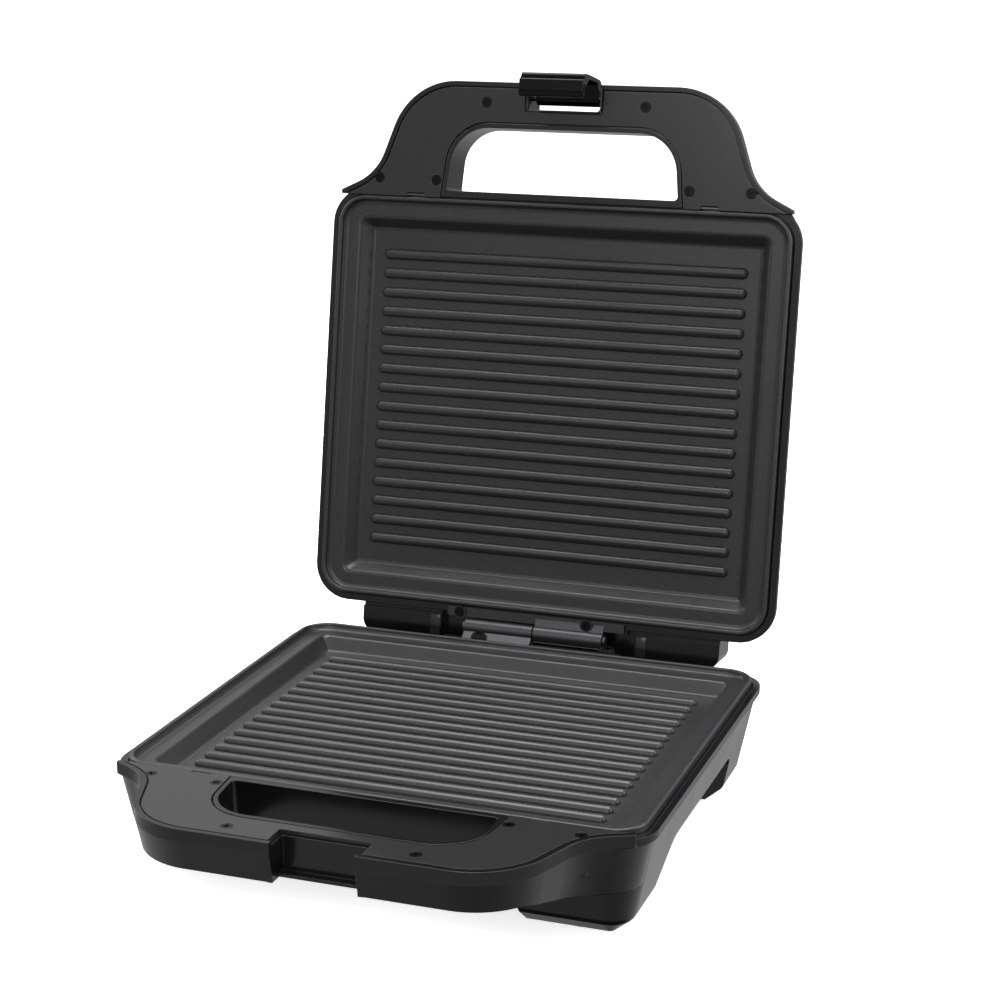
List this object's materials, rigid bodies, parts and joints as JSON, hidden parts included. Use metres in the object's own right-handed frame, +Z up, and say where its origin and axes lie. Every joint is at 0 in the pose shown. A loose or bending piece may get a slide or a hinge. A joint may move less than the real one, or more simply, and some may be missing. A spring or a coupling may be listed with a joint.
{
  "type": "panini press",
  "caption": "Table-top panini press: base and hinged lid with ribbed grill plates, hoop handles and a swinging front latch, shown open.",
  "frame": {"origin": "on the surface that the feet stand on, under the middle of the open press's bounding box", "axes": "+Z up, +Y to the rear, where the hinge is, and +X to the right as seen by the user at the handles"},
  "size_m": [0.2556, 0.3578, 0.3478],
  "materials": {
    "housing": "smooth black injection-moulded plastic, satin to gloss",
    "rim": "gloss black heat-resistant plastic",
    "nonstick": "dark grey sprayed non-stick coating with a fine speckle",
    "liner": "satin black plastic",
    "latch": "gloss black plastic",
    "screws": "black oxide cross-head screws",
    "hinge": "dark satin die-cast zinc",
    "spring_steel": "plain steel",
    "reflector": "pressed aluminised sheet",
    "element": "heat-tinted steel tube",
    "rubber": "matt black rubber",
    "bushing": "matt black plastic",
    "electrical": "cream heat-resistant plastic",
    "red_lens": "translucent red plastic",
    "green_lens": "translucent green plastic",
    "lamp_glass": "clear glass"
  },
  "bodies": {
    "base": {"base_housing": "housing", "base_rim": "rim", "base_grill_plate": "nonstick", "base_handle_liner": "liner", "base_liner_screws": "screws", "base_plate_clips": "spring_steel", "base_reflector": "reflector", "base_reflector_screws": "screws", "base_heating_element": "element", "rubber_feet": "rubber", "cord_inlet_bushing": "bushing", "terminal_block": "electrical", "thermostat": "electrical", "thermal_fuse": "electrical", "hinge_lower_leaf": "hinge", "hinge_lower_screws": "screws", "hinge_pin": "hinge"},
    "lid": {"lid_housing": "housing", "lid_rim": "rim", "lid_grill_plate": "nonstick", "lid_handle_liner": "liner", "lid_liner_screws": "screws", "lid_plate_clips": "spring_steel", "lid_reflector": "reflector", "lid_reflector_screws": "screws", "lid_heating_element": "element", "power_indicator_lens": "red_lens", "ready_indicator_lens": "green_lens", "indicator_lamps": "lamp_glass", "hinge_upper_leaf": "hinge", "hinge_upper_screws": "screws", "latch_pin": "spring_steel"},
    "latch": {"latch": "latch"}
  },
  "joints": [
    {"name": "lid_hinge", "type": "hinge", "parent": "base", "child": "lid", "pos_m": [0, 0.1079, 0.0579], "axis": [1, 0, 0], "range_deg": [0, 100]},
    {"name": "latch_pivot", "type": "hinge", "parent": "lid", "child": "latch", "pos_m": [0, 0.16342, 0.33243], "axis": [-1, 0, 0], "range_deg": [-6, 38]}
  ]
}
